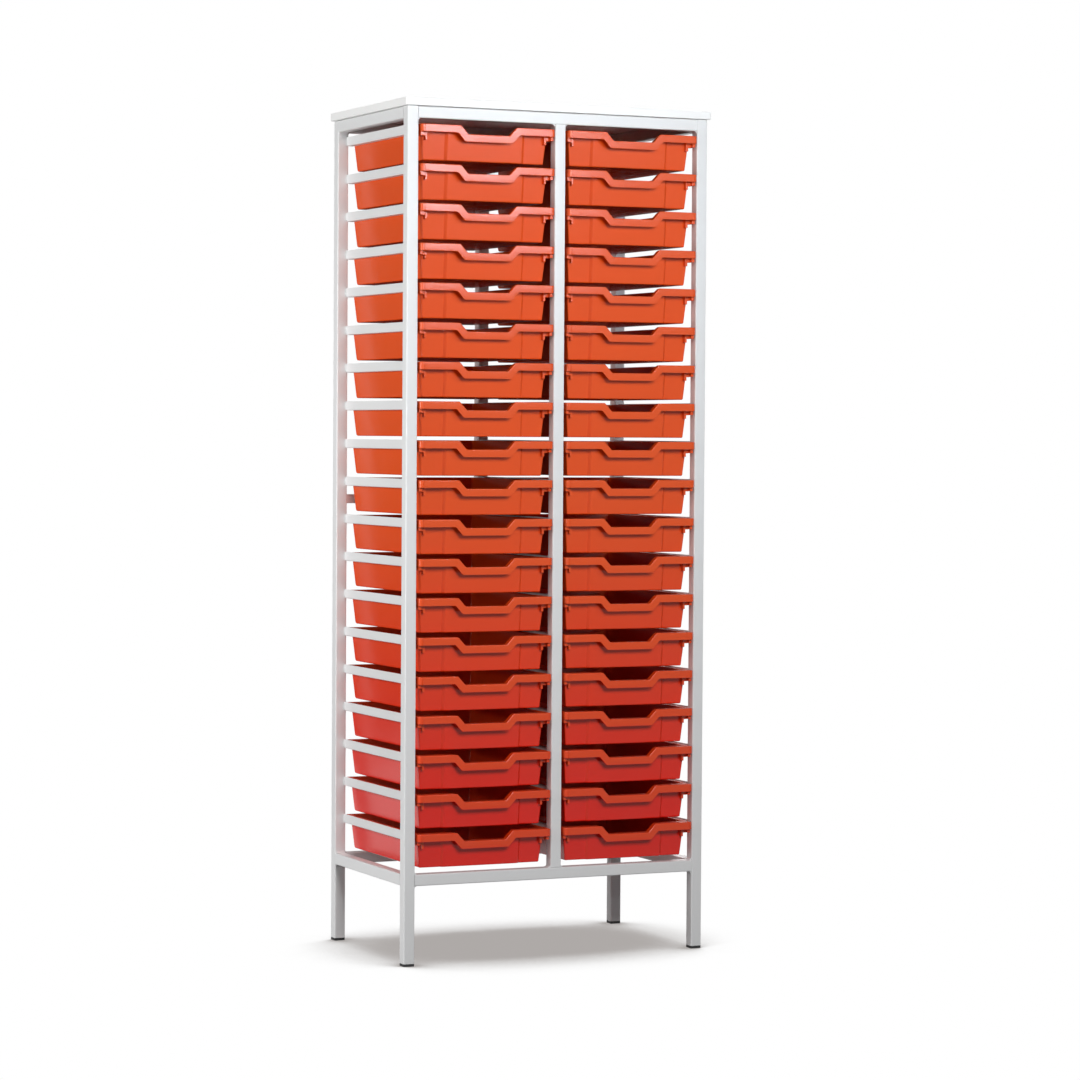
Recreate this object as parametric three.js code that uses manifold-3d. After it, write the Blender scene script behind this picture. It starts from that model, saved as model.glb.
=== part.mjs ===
// Classroom tray storage unit: a welded square-tube frame with two columns of pull-out moulded trays
// under a board top. Millimetres, +Z up, the tray fronts face -Y, the floor is Z = 0 and the unit is
// centred on X and Y.
import * as THREE from 'three';
import { mergeVertices } from 'three/addons/utils/BufferGeometryUtils.js';
import Module from 'manifold-3d';

const wasm = await Module();
wasm.setup();

// Trays, the moulded tubs that slide in
const traysPerColumn = 19;
const trayPitch = 84;
const trayWidth = 312;
const trayDepth = 427;
const trayHeight = 75;
const trayWall = 2;
const trayDraft = 7.5;
const trayProud = 10;
const bodyCornerRadius = 8;
const bodyCornerSteps = 2;
const hollowCornerSteps = 1;

// Tray rim: a plate round the mouth with a lip turned down at its edge
const rimThickness = 2;
const rimLipHeight = 16.5;
const rimCornerRadius = 9;
const rimCornerSteps = 2;
const lipCornerSteps = 1;
const sideFlange = 8;
const rearFlange = 8;
const frontFlange = 19;

// Tray front: a hand scoop in the rim band, and a middle panel that stands forward of the corners
const scoopTopWidth = 130;
const scoopBottomWidth = 96;
const scoopDepth = 18.5;
const panelWidth = 174;
const panelStep = 5;
const panelSlope = 8;

// Stop lugs under the front corners of the rim, in two steps; their outer steps meet the front ends of
// the runners
const lugOuterWidth = 17;
const lugOuterDrop = 24;
const lugInnerWidth = 8.5;
const lugInnerDrop = 33;

// Frame of welded square tube
const tube = 25;
const tubeWall = 1.5;
const tubeCorner = 2.5;
const tubeCornerSteps = 1;
const legHeight = 172;
const braceTube = 20;

// Runners: an angle welded between a front and a back post, with its ledge under the tray's lip
const runnerHeight = 20;
const runnerThickness = 1.5;
const runnerInset = 4;

// Board top
const topThickness = 18;
const topOverhang = 6.5;
const topCornerRadius = 3;
const topCornerSteps = 3;

// Feet: a cap the size of the tube, with a finned plug up inside it
const footCapHeight = 6;
const footPlugHeight = 20;
const footPlugCore = 13;
const footFins = 2;
const footFinThickness = 1.5;

// Clearances
const trayToPost = 3.5;
const trayToBottomRail = 11;
const trayToTopRail = 12;
const trayToFrameBack = 15;
const braceToLip = 21.5;
const ledgeToBody = 0.5;
const seatGap = 0.3;
const weldDepth = 1;
const cutMargin = 5;

// Places that follow from the sizes above
const opening = trayWidth + 2 * trayToPost;
const frameWidth = 3 * tube + 2 * opening;
const frameDepth = trayDepth - trayProud + trayToFrameBack;
const lowestTrayBase = legHeight + tube + trayToBottomRail;
const topRailBottom = lowestTrayBase + (traysPerColumn - 1) * trayPitch + trayHeight + trayToTopRail;
const frameHeight = topRailBottom + tube;
const postX = frameWidth / 2 - tube / 2;
const postY = frameDepth / 2 - tube / 2;
const columnX = tube / 2 + opening / 2;
const trayFrontY = -frameDepth / 2 - trayProud;
const runnerLength = frameDepth - 2 * tube;
const runnerLedge = runnerInset + trayToPost + sideFlange - ledgeToBody;
const ledgeBelowRim = rimLipHeight + seatGap;

const paintedSteel = new THREE.MeshStandardMaterial({ color: 0xd5d6d8, roughness: 0.45, metalness: 0.1 });
const trayPlastic = new THREE.MeshStandardMaterial({ color: 0xdc5328, roughness: 0.38, metalness: 0 });
const boardWhite = new THREE.MeshStandardMaterial({ color: 0xf0f0ee, roughness: 0.5, metalness: 0 });
const footPlastic = new THREE.MeshStandardMaterial({ color: 0x17181a, roughness: 0.6, metalness: 0 });

// Solids from geometries and back, for joining and cutting

function solidOf(geometry) {
  const bare = geometry.clone();
  bare.deleteAttribute('normal');
  bare.deleteAttribute('uv');
  const merged = mergeVertices(bare, 1e-4);
  const vertProperties = Float32Array.from(merged.attributes.position.array);
  const triVerts = Uint32Array.from(merged.index.array);
  return new wasm.Manifold(new wasm.Mesh({ numProp: 3, vertProperties, triVerts }));
}

function geometryOf(solid) {
  const mesh = solid.getMesh();
  const geometry = new THREE.BufferGeometry();
  geometry.setAttribute('position', new THREE.BufferAttribute(Float32Array.from(mesh.vertProperties), 3));
  geometry.setIndex(new THREE.BufferAttribute(Uint32Array.from(mesh.triVerts), 1));
  geometry.computeVertexNormals();
  return geometry;
}

// Outlines are lists of points that run anticlockwise

function arcPoints(x, y, radius, startAngle, steps) {
  return Array.from({ length: steps + 1 }, (_, i) => {
    const angle = startAngle + (i / steps) * (Math.PI / 2);
    return new THREE.Vector2(x + radius * Math.cos(angle), y + radius * Math.sin(angle));
  });
}

function roundedRectangle(xMin, xMax, yMin, yMax, radius, steps) {
  return [
    ...arcPoints(xMin + radius, yMin + radius, radius, Math.PI, steps),
    ...arcPoints(xMax - radius, yMin + radius, radius, 1.5 * Math.PI, steps),
    ...arcPoints(xMax - radius, yMax - radius, radius, 0, steps),
    ...arcPoints(xMin + radius, yMax - radius, radius, 0.5 * Math.PI, steps),
  ];
}

function points(...pairs) {
  return pairs.map(([x, y]) => new THREE.Vector2(x, y));
}

// Extrusions: upright along Z, or front to back along Y from an outline drawn in X and Z

function upright(outline, zMin, zMax, holes = []) {
  const shape = new THREE.Shape(outline);
  shape.holes = holes.map((hole) => new THREE.Path(hole));
  const geometry = new THREE.ExtrudeGeometry(shape, { depth: zMax - zMin, bevelEnabled: false });
  return geometry.translate(0, 0, zMin);
}

function frontToBack(outline, yMin, yMax) {
  const shape = new THREE.Shape(outline);
  const geometry = new THREE.ExtrudeGeometry(shape, { depth: yMax - yMin, bevelEnabled: false });
  return geometry.rotateX(Math.PI / 2).translate(0, yMax, 0);
}

// A loft joins two outlines with the same number of points, one above the other
function loft(lower, zLower, upper, zUpper) {
  const count = lower.length;
  const positions = [
    ...lower.flatMap((p) => [p.x, p.y, zLower]),
    ...upper.flatMap((p) => [p.x, p.y, zUpper]),
  ];
  const sides = lower.flatMap((_, i) => {
    const next = (i + 1) % count;
    return [i, next, count + next, i, count + next, count + i];
  });
  const bottom = THREE.ShapeUtils.triangulateShape(lower, []).flatMap(([a, b, c]) => [c, b, a]);
  const top = THREE.ShapeUtils.triangulateShape(upper, []).flat().map((index) => count + index);
  const geometry = new THREE.BufferGeometry();
  geometry.setAttribute('position', new THREE.Float32BufferAttribute(positions, 3));
  geometry.setIndex([...bottom, ...sides, ...top]);
  return geometry;
}

// Outline of the tray body, drawn in by inset from its size at the rim, with the middle panel forward
function bodyOutline(inset, thickness) {
  const half = trayWidth / 2 - sideFlange - inset;
  const front = frontFlange + panelStep + inset;
  const rear = trayDepth - rearFlange - inset;
  const radius = bodyCornerRadius - thickness;
  const steps = thickness > 0 ? hollowCornerSteps : bodyCornerSteps;
  const corners = roundedRectangle(-half, half, front, rear, radius, steps);
  const panelHalf = panelWidth / 2 - thickness;
  const panel = points(
    [-panelHalf - panelSlope, front],
    [-panelHalf, front - panelStep],
    [panelHalf, front - panelStep],
    [panelHalf + panelSlope, front],
  );
  const frontLeft = steps + 1;
  return [...corners.slice(0, frontLeft), ...panel, ...corners.slice(frontLeft)];
}

// The body wall leans in from the rim to the base, so its inset grows with the drop below the rim
function bodyLoft(thickness, zLower, zUpper) {
  const insetAt = (z) => (trayDraft * (trayHeight - z)) / trayHeight + thickness;
  return loft(bodyOutline(insetAt(zLower), thickness), zLower, bodyOutline(insetAt(zUpper), thickness), zUpper);
}

// The scoop's edge is a trapezoid; the band under it keeps one width round the slopes
function scoopTrapezoid(drop, widen, extra) {
  const top = trayHeight - drop + extra;
  const bottom = trayHeight - drop - scoopDepth;
  const run = (scoopTopWidth - scoopBottomWidth) / 2;
  const upperHalf = scoopTopWidth / 2 + widen + (run * extra) / scoopDepth;
  const lowerHalf = scoopBottomWidth / 2 + widen;
  return points([-lowerHalf, bottom], [lowerHalf, bottom], [upperHalf, top], [-upperHalf, top]);
}

function scoopWiden(width) {
  const run = (scoopTopWidth - scoopBottomWidth) / 2;
  return (width * (Math.hypot(run, scoopDepth) - run)) / scoopDepth;
}

function lugOutline(side) {
  const outer = trayWidth / 2 - rimThickness / 2;
  const step = outer - lugOuterWidth;
  const inner = step - lugInnerWidth;
  const top = trayHeight - rimThickness / 2;
  const outline = [
    [inner, trayHeight - lugInnerDrop],
    [step, trayHeight - lugInnerDrop],
    [step, trayHeight - lugOuterDrop],
    [outer, trayHeight - lugOuterDrop],
    [outer, top],
    [inner, top],
  ].map(([x, z]) => [side * x, z]);
  return points(...(side > 0 ? outline : outline.reverse()));
}

function makeTray() {
  const half = trayWidth / 2;
  const wallBehindScoop = frontFlange + panelStep + trayDraft + trayWall;
  const rimOutline = roundedRectangle(-half, half, 0, trayDepth, rimCornerRadius, rimCornerSteps);
  const lipOutline = roundedRectangle(
    rimThickness - half,
    half - rimThickness,
    rimThickness,
    trayDepth - rimThickness,
    rimCornerRadius - rimThickness,
    lipCornerSteps,
  );
  const lugEnd = trayProud + tube - weldDepth - seatGap;

  const rim = solidOf(upright(rimOutline, trayHeight - rimLipHeight, trayHeight))
    .subtract(solidOf(upright(lipOutline, trayHeight - rimLipHeight - cutMargin, trayHeight - rimThickness)));
  const bandDrop = solidOf(
    frontToBack(scoopTrapezoid(rimLipHeight, scoopWiden(rimLipHeight), rimThickness / 2), 0, rimThickness),
  );
  const scoopShelf = solidOf(
    frontToBack(scoopTrapezoid(rimThickness, scoopWiden(rimThickness), rimThickness / 2), 0, wallBehindScoop),
  );
  const body = solidOf(bodyLoft(0, 0, trayHeight));
  const hollow = solidOf(bodyLoft(trayWall, trayWall, trayHeight + cutMargin));
  const scoop = solidOf(
    frontToBack(scoopTrapezoid(0, 0, cutMargin), -cutMargin, wallBehindScoop + cutMargin),
  );
  const lugs = [-1, 1].map((side) => solidOf(frontToBack(lugOutline(side), rimCornerRadius, lugEnd)));
  const outside = [bandDrop, scoopShelf, body, ...lugs].reduce((sum, piece) => sum.add(piece), rim);
  return geometryOf(outside.subtract(hollow).subtract(scoop));
}

// Square tube with rounded corners, standing on Z = 0
function tubeGeometry(size, length) {
  const half = size / 2;
  const bore = half - tubeWall;
  const outline = roundedRectangle(-half, half, -half, half, tubeCorner, tubeCornerSteps);
  const hole = points([-bore, -bore], [-bore, bore], [bore, bore], [bore, -bore]);
  return upright(outline, 0, length, [hole]);
}

// Angle section of a runner in X and Z, from its outer lower corner; side is where its ledge points
function runnerSection(side) {
  const section = [
    [0, 0],
    [runnerLedge, 0],
    [runnerLedge, runnerThickness],
    [runnerThickness, runnerThickness],
    [runnerThickness, runnerHeight],
    [0, runnerHeight],
  ].map(([x, z]) => [side * x, z]);
  return points(...(side > 0 ? section : section.reverse()));
}

// A post with the runners of one side of a column welded to it; away is +1 where they run towards +Y
function postWithRunners(length, bottom, side, away) {
  const start = tube / 2 - weldDepth;
  const end = tube / 2 + runnerLength;
  const outerX = side * (tube / 2 - runnerInset);
  const runner = frontToBack(runnerSection(side), away > 0 ? start : -end, away > 0 ? end : -start);
  const levels = Array.from({ length: traysPerColumn }, (_, i) => {
    const rimTop = lowestTrayBase + i * trayPitch + trayHeight;
    return rimTop - ledgeBelowRim - runnerThickness - bottom;
  });
  const post = solidOf(tubeGeometry(tube, length));
  return geometryOf(levels.reduce((sum, z) => sum.add(solidOf(runner.clone().translate(outerX, 0, z))), post));
}

function makeFoot() {
  const half = tube / 2;
  const core = footPlugCore / 2;
  const fin = half - tubeWall - seatGap;
  const square = (size) => points([-size, -size], [size, -size], [size, size], [-size, size]);
  const cap = solidOf(
    upright(roundedRectangle(-half, half, -half, half, tubeCorner, tubeCornerSteps), 0, footCapHeight),
  );
  const plug = solidOf(upright(square(core), footCapHeight / 2, footCapHeight + footPlugHeight));
  const spacing = footPlugHeight / footFins;
  const fins = Array.from({ length: footFins }, (_, i) => {
    const z = footCapHeight + (i + 0.5) * spacing - footFinThickness / 2;
    return solidOf(upright(square(fin), z, z + footFinThickness));
  });
  return geometryOf([plug, ...fins].reduce((sum, piece) => sum.add(piece), cap));
}

function makeTop() {
  const halfWidth = frameWidth / 2 + topOverhang;
  const halfDepth = frameDepth / 2 + topOverhang;
  const radius = topCornerRadius;
  const outline = roundedRectangle(-halfWidth, halfWidth, -halfDepth, halfDepth, radius, topCornerSteps);
  return upright(outline, 0, topThickness);
}

const unit = new THREE.Group();

function place(parent, name, geometry, material, x, y, z) {
  const mesh = new THREE.Mesh(geometry, material);
  mesh.name = name;
  mesh.position.set(x, y, z);
  parent.add(mesh);
  return mesh;
}

// Frame
const frame = new THREE.Group();
unit.add(frame);

const cornerPostLength = frameHeight - footCapHeight;
const middlePostBottom = legHeight + tube;
const middlePostLength = topRailBottom - middlePostBottom;
const frontLeftPost = postWithRunners(cornerPostLength, footCapHeight, 1, 1);
const frontMiddlePost = postWithRunners(middlePostLength, middlePostBottom, -1, 1);
const frontRightPost = postWithRunners(cornerPostLength, footCapHeight, -1, 1);
const backMiddlePost = postWithRunners(middlePostLength, middlePostBottom, 1, -1);
const backCornerPost = tubeGeometry(tube, cornerPostLength);
place(frame, 'front_left_post', frontLeftPost, paintedSteel, -postX, -postY, footCapHeight);
place(frame, 'front_middle_post', frontMiddlePost, paintedSteel, 0, -postY, middlePostBottom);
place(frame, 'front_right_post', frontRightPost, paintedSteel, postX, -postY, footCapHeight);
place(frame, 'back_left_post', backCornerPost, paintedSteel, -postX, postY, footCapHeight);
place(frame, 'back_middle_post', backMiddlePost, paintedSteel, 0, postY, middlePostBottom);
place(frame, 'back_right_post', backCornerPost, paintedSteel, postX, postY, footCapHeight);

const longRail = tubeGeometry(tube, frameWidth - 2 * tube).rotateY(Math.PI / 2);
const sideRail = tubeGeometry(tube, frameDepth - 2 * tube).rotateX(-Math.PI / 2);
const railLevels = { bottom: legHeight + tube / 2, top: topRailBottom + tube / 2 };
for (const [level, z] of Object.entries(railLevels)) {
  place(frame, `front_${level}_rail`, longRail, paintedSteel, tube - frameWidth / 2, -postY, z);
  place(frame, `back_${level}_rail`, longRail, paintedSteel, tube - frameWidth / 2, postY, z);
  place(frame, `left_${level}_rail`, sideRail, paintedSteel, -postX, tube - frameDepth / 2, z);
  place(frame, `right_${level}_rail`, sideRail, paintedSteel, postX, tube - frameDepth / 2, z);
}

// The brace crosses the back in two lengths, behind the middle trays and under their lips
const brace = tubeGeometry(braceTube, opening).rotateY(Math.PI / 2);
const middleTrayBase = lowestTrayBase + Math.floor(traysPerColumn / 2) * trayPitch;
const braceY = frameDepth / 2 - braceTube / 2;
const braceZ = middleTrayBase + trayHeight - rimLipHeight - braceToLip - braceTube / 2;
place(frame, 'back_left_brace', brace, paintedSteel, tube - frameWidth / 2, braceY, braceZ);
place(frame, 'back_right_brace', brace, paintedSteel, tube / 2, braceY, braceZ);

place(frame, 'top_panel', makeTop(), boardWhite, 0, 0, frameHeight);

const foot = makeFoot();
place(frame, 'front_left_foot', foot, footPlastic, -postX, -postY, 0);
place(frame, 'front_right_foot', foot, footPlastic, postX, -postY, 0);
place(frame, 'back_left_foot', foot, footPlastic, -postX, postY, 0);
place(frame, 'back_right_foot', foot, footPlastic, postX, postY, 0);

// Trays, numbered from the top of each column
const tray = makeTray();
for (const [column, x] of [['left', -columnX], ['right', columnX]]) {
  const stack = new THREE.Group();
  stack.position.set(x, trayFrontY, lowestTrayBase);
  unit.add(stack);
  for (let i = 0; i < traysPerColumn; i += 1) {
    const number = String(i + 1).padStart(2, '0');
    place(stack, `${column}_tray_${number}`, tray, trayPlastic, 0, 0, (traysPerColumn - 1 - i) * trayPitch);
  }
}

export default unit;
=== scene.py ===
# %% [markdown]
# # A classroom tray storage unit
# The real unit is a welded frame of square steel tube with a board on top. Steel angles run from front to
# back at 19 levels, and a moulded tray hangs by its rim on each pair of them. Every place and outer size
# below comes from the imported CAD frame, so a dressed piece sits where its solid sits, and only the small
# radii, folds and finishes are added here.

# %% Load the frame
import math

import bmesh
import bpy
from mathutils import Matrix, Vector


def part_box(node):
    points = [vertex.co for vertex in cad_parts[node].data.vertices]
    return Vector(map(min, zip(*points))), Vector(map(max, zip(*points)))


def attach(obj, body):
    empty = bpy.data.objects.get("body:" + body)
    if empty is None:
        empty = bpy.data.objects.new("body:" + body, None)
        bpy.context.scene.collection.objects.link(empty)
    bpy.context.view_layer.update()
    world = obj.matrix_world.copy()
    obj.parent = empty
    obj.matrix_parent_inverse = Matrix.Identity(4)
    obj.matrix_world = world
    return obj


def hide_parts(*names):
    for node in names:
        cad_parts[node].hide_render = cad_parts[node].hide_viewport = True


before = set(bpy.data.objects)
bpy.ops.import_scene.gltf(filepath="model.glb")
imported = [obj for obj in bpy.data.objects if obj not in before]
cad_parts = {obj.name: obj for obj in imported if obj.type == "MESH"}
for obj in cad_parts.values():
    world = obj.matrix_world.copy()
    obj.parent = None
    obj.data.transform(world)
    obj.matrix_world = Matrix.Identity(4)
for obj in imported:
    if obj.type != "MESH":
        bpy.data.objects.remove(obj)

MM = 0.001
scene = bpy.context.scene
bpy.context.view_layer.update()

# %% [markdown]
# ## Camera
# The unit was photographed from a little left of its front, with a long lens at about chest height. The
# lens and the place were found by matching the frame's corners, so they are plain numbers here. The turn
# is built from three rotations: first level, then pitched and turned, with the small roll about the view.

# %% Camera at the photograph's viewing angle
CAMERA_PLACE = Vector((-3.0911, -6.8623, 1.1416))
CAMERA_YAW = math.radians(24.638)
CAMERA_PITCH = math.radians(-1.818)
CAMERA_ROLL = math.radians(0.36)
PHOTO_PIXELS = 1080
FOCAL_PIXELS = 3382.3
SENSOR_WIDTH = 36

camera_data = bpy.data.cameras.new("camera")
camera_data.sensor_width = SENSOR_WIDTH
camera_data.lens = SENSOR_WIDTH * FOCAL_PIXELS / PHOTO_PIXELS
camera = bpy.data.objects.new("camera", camera_data)
scene.collection.objects.link(camera)
scene.camera = camera
turn = Matrix.Rotation(-CAMERA_YAW, 4, "Z")
tilt = Matrix.Rotation(math.radians(90) + CAMERA_PITCH, 4, "X")
roll = Matrix.Rotation(CAMERA_ROLL, 4, "Z")
camera.matrix_world = Matrix.Translation(CAMERA_PLACE) @ turn @ tilt @ roll
print("lens in mm:", round(camera_data.lens, 2))

# %% [markdown]
# ## Studio light
# The photograph is a bright studio picture. A soft box stands well in front of the unit, a little to the
# left and above its top, so the paint fades towards the feet and each band throws a soft shadow on the panel
# below it. A small cool one on the right is what the bands of the upper trays mirror, and a third lights the
# left side. Two more stand behind and above, where the photograph doesn't look, so the back and the board's
# top show their colours as well. A dim dome lifts the shadows, and a dark card behind the unit keeps the
# insides and the left sides of the trays from mirroring white. The background is white only for rays that
# look at it, so it adds no light to the unit.

# %% World with a dim dome and a white background
scene.view_settings.view_transform = "Standard"
DOME_STRENGTH = 0.06
PAPER_STRENGTH = 1


def node(tree, kind, **values):
    made = tree.nodes.new(kind)
    for name, value in values.items():
        setattr(made, name, value)
    return made


def looking_rays(tree):
    """1 for rays that look at the background straight on, in a reflection or through glass."""
    path = node(tree, "ShaderNodeLightPath")
    mirrored = node(tree, "ShaderNodeMath", operation="MAXIMUM")
    seen = node(tree, "ShaderNodeMath", operation="MAXIMUM")
    tree.links.new(path.outputs["Is Glossy Ray"], mirrored.inputs[0])
    tree.links.new(path.outputs["Is Transmission Ray"], mirrored.inputs[1])
    tree.links.new(path.outputs["Is Camera Ray"], seen.inputs[0])
    tree.links.new(mirrored.outputs[0], seen.inputs[1])
    return seen.outputs[0]


world = bpy.data.worlds.new("studio")
world.use_nodes = True
scene.world = world
sky = world.node_tree
sky.nodes.clear()
dome = node(sky, "ShaderNodeBackground")
dome.inputs["Color"].default_value = (1, 1, 1, 1)
dome.inputs["Strength"].default_value = DOME_STRENGTH
paper = node(sky, "ShaderNodeBackground")
paper.inputs["Color"].default_value = (1, 1, 1, 1)
paper.inputs["Strength"].default_value = PAPER_STRENGTH
choose = node(sky, "ShaderNodeMixShader")
sky.links.new(looking_rays(sky), choose.inputs["Fac"])
sky.links.new(dome.outputs[0], choose.inputs[1])
sky.links.new(paper.outputs[0], choose.inputs[2])
sky.links.new(choose.outputs[0], node(sky, "ShaderNodeOutputWorld").inputs["Surface"])
print("dome strength:", DOME_STRENGTH)

# %% Soft boxes
WHITE_LIGHT = (1, 1, 1)
COOL_LIGHT = (0.8, 0.9, 1.0)


def soft_box(name, place, target, width, height, watts, spread=180, colour=WHITE_LIGHT):
    """A rectangular area lamp that looks at target. A spread below 180 degrees is a grid on its front."""
    data = bpy.data.lights.new(name, "AREA")
    data.shape = "RECTANGLE"
    data.size = width
    data.size_y = height
    data.energy = watts
    data.color = colour
    data.spread = math.radians(spread)
    lamp = bpy.data.objects.new(name, data)
    lamp.location = place
    lamp.rotation_euler = (Vector(target) - Vector(place)).to_track_quat("-Z", "Y").to_euler()
    lamp.visible_camera = False
    scene.collection.objects.link(lamp)


soft_box("key_soft_box", place=(-0.6, -4.2, 2.3), target=(0, 0, 1.0), width=1.0, height=1.2, watts=122)
soft_box("band_soft_box", place=(1.05, -3.3, 2.14), target=(-0.1, -0.2, 1.7), width=0.55, height=0.8,
         watts=3.0, spread=50, colour=COOL_LIGHT)
soft_box("left_soft_box", place=(-2.6, -0.05, 1.25), target=(-0.3, 0, 1.05), width=1.6, height=0.9, watts=53)
soft_box("back_soft_box", place=(2.0, 2.9, 1.5), target=(0, 0, 1.0), width=1.6, height=1.6, watts=80)
soft_box("top_soft_box", place=(0, 0.1, 3.6), target=(0, 0.1, 0), width=0.8, height=0.5, watts=3, spread=60)

# %% Dark card that only reflections see
CARD_LEFT = -3.6
CARD_RIGHT = 2.4
CARD_HEIGHT = 3.0
CARD_DISTANCE = 2.4
CARD_GREY = (0.05, 0.05, 0.05, 1)
ONE_FACE = [(0, 1, 2, 3)]

card_outline = ((CARD_LEFT, 0), (CARD_RIGHT, 0), (CARD_RIGHT, CARD_HEIGHT), (CARD_LEFT, CARD_HEIGHT))
card_mesh = bpy.data.meshes.new("dark_card")
card_mesh.from_pydata([(x, CARD_DISTANCE, z) for x, z in card_outline], [], ONE_FACE)
card_look = bpy.data.materials.new("dark_card")
card_look.use_nodes = True
card_look.node_tree.nodes["Principled BSDF"].inputs["Base Color"].default_value = CARD_GREY
card_mesh.materials.append(card_look)
card = bpy.data.objects.new("dark_card", card_mesh)
card.visible_camera = False
card.visible_diffuse = False
card.visible_shadow = False
card.visible_transmission = False
scene.collection.objects.link(card)
print("card width in m:", CARD_RIGHT - CARD_LEFT)

# %% [markdown]
# ## Floor
# The unit stands on a white sweep that shows nothing but a soft oval shadow under the legs, as light from
# all round leaves it. A matt plane would also take the lamps' own shadows, which the photograph doesn't
# show. So rays that look at the floor see white, darkened by how much of the sky the unit covers there,
# and all other rays meet a matt surface.

# %% White floor that keeps the unit's shadow
FLOOR_HALF = 8.0
FLOOR_GREY = (0.18, 0.18, 0.18, 1)
SHADOW_REACH = 0.45
SHADOW_SAMPLES = 32
SHADOW_CORE = 0.51
SHADOW_EDGE = 0.83
SHADOW_COLOUR = (0.425, 0.40, 0.388)
PAPER_WHITE = (1, 1, 1)


def feed(tree, value, socket):
    """Links an input to another node's output, or sets it to a plain value."""
    if isinstance(value, bpy.types.NodeSocket):
        tree.links.new(value, socket)
    else:
        socket.default_value = value


def map_range(tree, value, start, end, least=0.0, most=1.0, interpolation="LINEAR"):
    made = node(tree, "ShaderNodeMapRange", interpolation_type=interpolation)
    tree.links.new(value, made.inputs["Value"])
    for name, limit in (("From Min", start), ("From Max", end), ("To Min", least), ("To Max", most)):
        feed(tree, limit, made.inputs[name])
    return made.outputs["Result"]


def mix_colour(tree, factor, first, second):
    made = node(tree, "ShaderNodeMix", data_type="RGBA")
    tree.links.new(factor, made.inputs["Factor"])
    for socket, colour in ((made.inputs[6], first), (made.inputs[7], second)):
        feed(tree, (*colour, 1) if isinstance(colour, tuple) else colour, socket)
    return made.outputs[2]


floor_mesh = bpy.data.meshes.new("floor")
floor_corners = [(x * FLOOR_HALF, y * FLOOR_HALF, 0) for x, y in ((-1, -1), (1, -1), (1, 1), (-1, 1))]
floor_mesh.from_pydata(floor_corners, [], ONE_FACE)
floor = bpy.data.objects.new("floor", floor_mesh)
scene.collection.objects.link(floor)

floor_look = bpy.data.materials.new("floor_sweep")
floor_look.use_nodes = True
floor_tree = floor_look.node_tree
floor_tree.nodes.clear()
matt = node(floor_tree, "ShaderNodeBsdfDiffuse")
matt.inputs["Color"].default_value = FLOOR_GREY
cover = node(floor_tree, "ShaderNodeAmbientOcclusion", samples=SHADOW_SAMPLES)
cover.inputs["Distance"].default_value = SHADOW_REACH
open_sky = map_range(floor_tree, cover.outputs["AO"], SHADOW_CORE, SHADOW_EDGE, interpolation="SMOOTHSTEP")
paper_white = node(floor_tree, "ShaderNodeEmission")
shade = mix_colour(floor_tree, open_sky, SHADOW_COLOUR, PAPER_WHITE)
floor_tree.links.new(shade, paper_white.inputs["Color"])
choose = node(floor_tree, "ShaderNodeMixShader")
floor_tree.links.new(looking_rays(floor_tree), choose.inputs["Fac"])
floor_tree.links.new(matt.outputs[0], choose.inputs[1])
floor_tree.links.new(paper_white.outputs[0], choose.inputs[2])
floor_tree.links.new(choose.outputs[0], node(floor_tree, "ShaderNodeOutputMaterial").inputs["Surface"])
floor_mesh.materials.append(floor_look)
print("floor half size in m:", FLOOR_HALF)

# %% [markdown]
# ## Shared surface effects
# Paint, plastic and board all have a fine relief, a gloss that is not even, and a trace of dust on what
# faces up. Their colour is also painted darker towards the floor, most on faces that lean down: a painted
# shade for the trays and the floor below them, which those faces see more than the lamps. Each effect is
# one node group, built once and placed in every material with its own values. The groups only put out
# values that change over the surface, and the shaders stay in the materials.

# %% Fine grain and uneven gloss
GRAIN_DETAIL = 3
GLOSS_DETAIL = 4
GLOSS_PATCHES = (0.3, 0.7)
FLOAT = "NodeSocketFloat"
PLACED = [("Vector", "NodeSocketVector"), ("Scale", FLOAT)]


def group(name, inputs, output):
    tree = bpy.data.node_groups.new(name, "ShaderNodeTree")
    for label, kind in inputs:
        tree.interface.new_socket(label, in_out="INPUT", socket_type=kind)
    tree.interface.new_socket(output, in_out="OUTPUT", socket_type=FLOAT)
    return tree, node(tree, "NodeGroupInput").outputs, node(tree, "NodeGroupOutput").inputs[output]


def noise(tree, given, detail):
    made = node(tree, "ShaderNodeTexNoise")
    tree.links.new(given["Vector"], made.inputs["Vector"])
    tree.links.new(given["Scale"], made.inputs["Scale"])
    made.inputs["Detail"].default_value = detail
    return made.outputs["Fac"]


grain, given, result = group("fine grain", PLACED, "Height")
grain.links.new(noise(grain, given, GRAIN_DETAIL), result)

gloss, given, result = group("uneven gloss", PLACED + [("Least", FLOAT), ("Most", FLOAT)], "Roughness")
patches = noise(gloss, given, GLOSS_DETAIL)
gloss.links.new(map_range(gloss, patches, *GLOSS_PATCHES, given["Least"], given["Most"]), result)
print("node groups:", grain.name, "and", gloss.name)

# %% Dust on what faces up
DUST_DETAIL = 5
DUST_TILT = (0.7, 1.0)


def height_of(tree, vector):
    split = node(tree, "ShaderNodeSeparateXYZ")
    tree.links.new(vector, split.inputs[0])
    return split.outputs["Z"]


def facing_up(tree):
    """1 where a face looks up, 0 where it is upright and -1 where it looks down."""
    return height_of(tree, node(tree, "ShaderNodeNewGeometry").outputs["Normal"])


def product(tree, first, second):
    made = node(tree, "ShaderNodeMath", operation="MULTIPLY")
    tree.links.new(first, made.inputs[0])
    tree.links.new(second, made.inputs[1])
    return made.outputs[0]


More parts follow.
